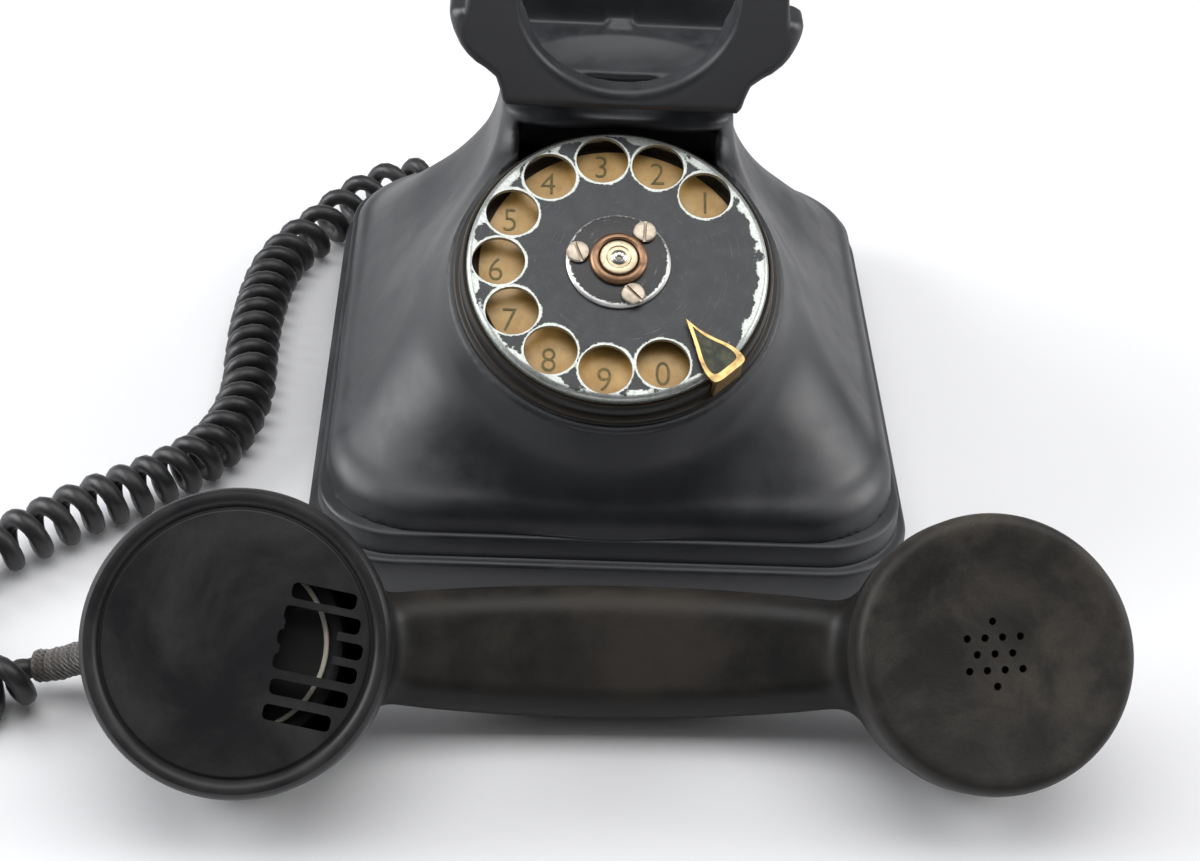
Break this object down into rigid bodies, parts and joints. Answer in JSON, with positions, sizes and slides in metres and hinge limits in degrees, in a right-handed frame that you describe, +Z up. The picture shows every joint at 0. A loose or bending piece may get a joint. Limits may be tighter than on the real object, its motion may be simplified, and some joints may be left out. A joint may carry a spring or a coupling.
{
  "type": "telephone",
  "caption": "Desk telephone with a flared moulded base, inclined rotary dial, fork cradle that presses down, and a separate handset on a coiled cord.",
  "frame": {"origin": "middle of the footprint of everything but the coiled cord, on the surface the telephone stands on", "axes": "+Z up, +X to the user's right, -Y towards the user and the handset"},
  "size_m": [0.3018, 0.2895, 0.1459],
  "materials": {
    "bakelite": "moulded black phenolic plastic, satin with fine dust",
    "handset_bakelite": "brownish black phenolic plastic, dusty and mottled",
    "enamel": "black enamel worn to bright metal at the edges",
    "brass": "tarnished brass",
    "steel": "dull zinc-plated steel",
    "copper": "brown copper alloy",
    "amber": "aged amber enamel with dark digits",
    "rubber": "black rubber",
    "fabric": "dark brown braided textile"
  },
  "bodies": {
    "base": {"housing": "bakelite", "base_plate": "steel", "rubber_foot_1": "rubber", "rubber_foot_2": "rubber", "rubber_foot_3": "rubber", "rubber_foot_4": "rubber", "base_screw_left": "steel", "base_screw_right": "steel", "dial_case": "enamel", "number_plate": "amber", "finger_stop": "brass", "mechanism_plate": "steel", "pulse_contacts": "copper", "return_spring": "steel", "hook_bracket": "steel", "hook_pivot_pin": "steel", "hook_contacts": "copper", "gong_left": "brass", "gong_right": "brass", "gong_post_left": "steel", "gong_post_right": "steel", "ringer_coil_left": "copper", "ringer_coil_right": "copper", "ringer_yoke": "steel", "clapper_pivot": "steel", "induction_coil": "copper", "capacitor": "steel", "terminal_block": "bakelite", "handset_cord_gland": "rubber", "line_inlet_bush": "rubber", "handset_cord_coil": "rubber", "handset_cord_lead": "rubber"},
    "cradle": {"cradle_fork": "bakelite", "cradle_plunger": "brass"},
    "hook_lever": {"hook_lever": "steel"},
    "dial": {"finger_wheel": "enamel", "hub_plate": "enamel", "hub_screw_1": "brass", "hub_screw_2": "brass", "hub_screw_3": "brass", "collar_nut": "copper", "dial_spindle": "brass", "centre_pin": "steel", "dial_gear": "brass"},
    "governor": {"governor": "brass"},
    "clapper": {"clapper": "steel"},
    "handset": {"handset_shell": "handset_bakelite", "mouthpiece_cap": "handset_bakelite", "earpiece_cap": "handset_bakelite", "transmitter_capsule": "steel", "receiver_capsule": "steel", "cord_sleeve": "fabric"}
  },
  "joints": [
    {"name": "cradle_slide", "type": "slide", "parent": "base", "child": "cradle", "axis": [0, 0, -1], "range_m": [0, 0.006], "stiffness_N_per_m": 300, "springref_m": -0.01},
    {"name": "hook_lever_pivot", "type": "hinge", "parent": "base", "child": "hook_lever", "pos_m": [0.01125, 0.0701, 0.051], "axis": [1, 0, 0], "range_deg": [0, 19.6]},
    {"name": "dial_turn", "type": "hinge", "parent": "base", "child": "dial", "pos_m": [0.00995, -0.01, 0.0816], "axis": [0, 0.4633, -0.8862], "range_deg": [0, 332], "stiffness_Nm_per_rad": 0.01, "springref_deg": -85.94},
    {"name": "governor_turn", "type": "hinge", "parent": "base", "child": "governor", "pos_m": [-0.01213, -0.01017, 0.06458], "axis": [0, 0.4633, -0.8862], "continuous": true},
    {"name": "clapper_swing", "type": "hinge", "parent": "base", "child": "clapper", "pos_m": [0.01125, 0.0521, 0.018], "axis": [0, 0, 1], "range_deg": [-2, 2]},
    {"name": "handset_lift", "type": "slide", "parent": "base", "child": "handset", "axis": [0, 0, 1], "range_m": [0, 0.18]}
  ],
  "couplings": [
    {"joint": "hook_lever_pivot", "follows": "cradle_slide", "rad_per_m": 56.7},
    {"joint": "governor_turn", "follows": "dial_turn", "ratio": -4}
  ]
}
